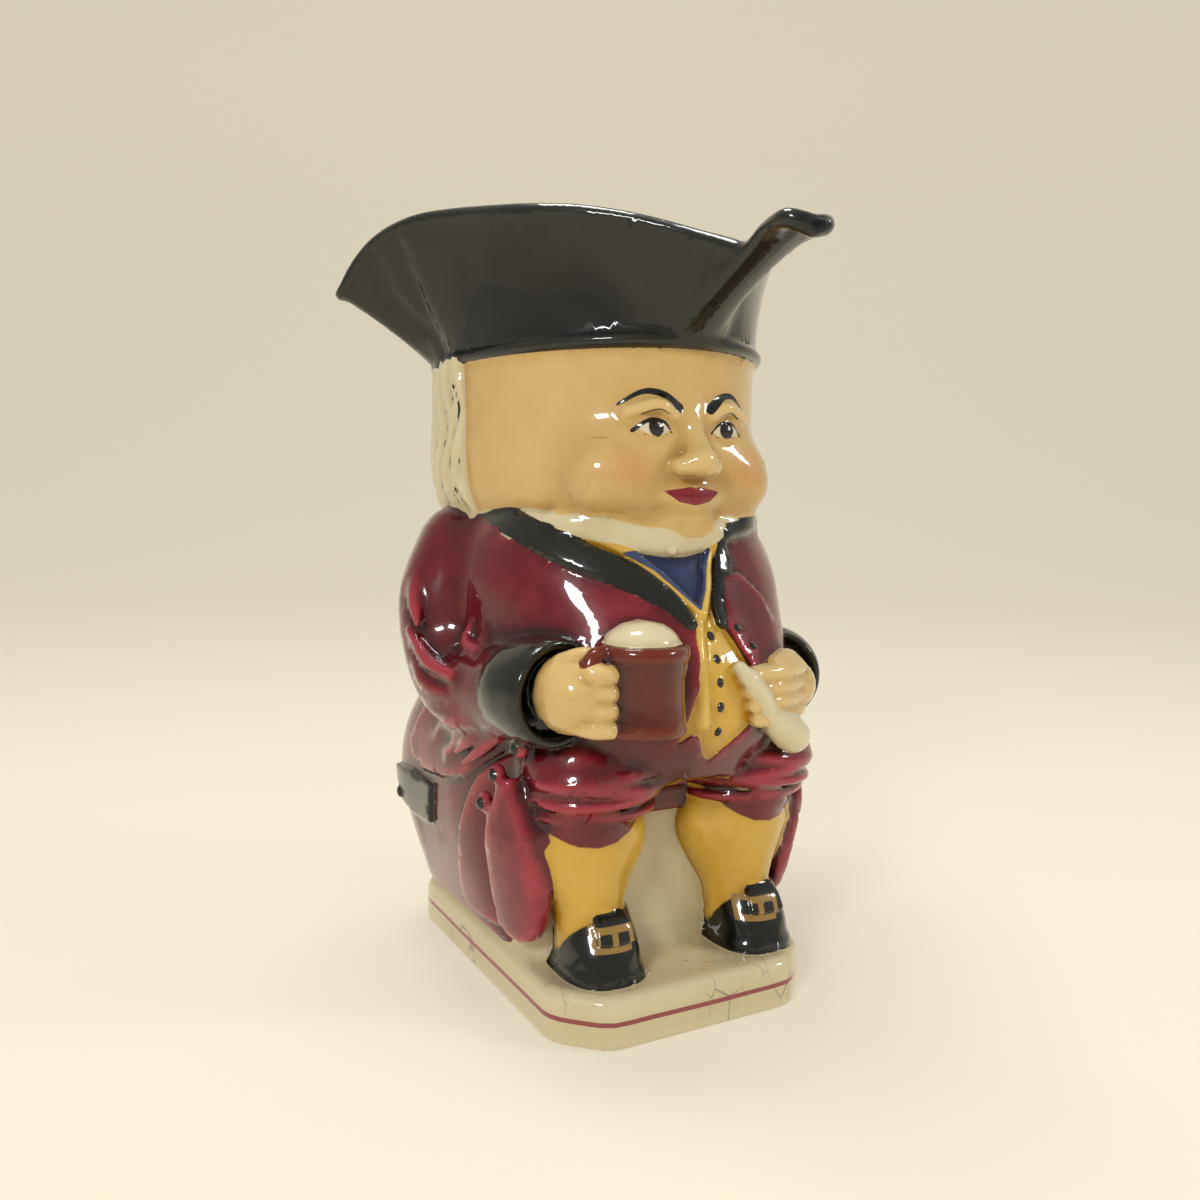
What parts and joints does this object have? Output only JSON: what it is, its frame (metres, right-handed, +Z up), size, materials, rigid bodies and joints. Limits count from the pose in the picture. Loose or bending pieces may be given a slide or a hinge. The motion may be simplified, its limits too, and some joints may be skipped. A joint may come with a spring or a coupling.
{
  "type": "toby jug",
  "caption": "Hollow glazed pottery toby jug: a seated figure in coat and tricorn hat holding a mug and a pipe, with a pouring spout, a back handle and a chamfered plinth.",
  "frame": {"origin": "centre of the figure's width on the flat underside of the plinth, below the middle of the seated body", "axes": "+Z up, -Y the way the figure faces, +X its left hand side"},
  "size_m": [0.162, 0.2023, 0.2433],
  "materials": {
    "painted_glaze": "glossy"
  },
  "bodies": {
    "root": {"toby_jug": "painted_glaze"}
  },
  "joints": []
}
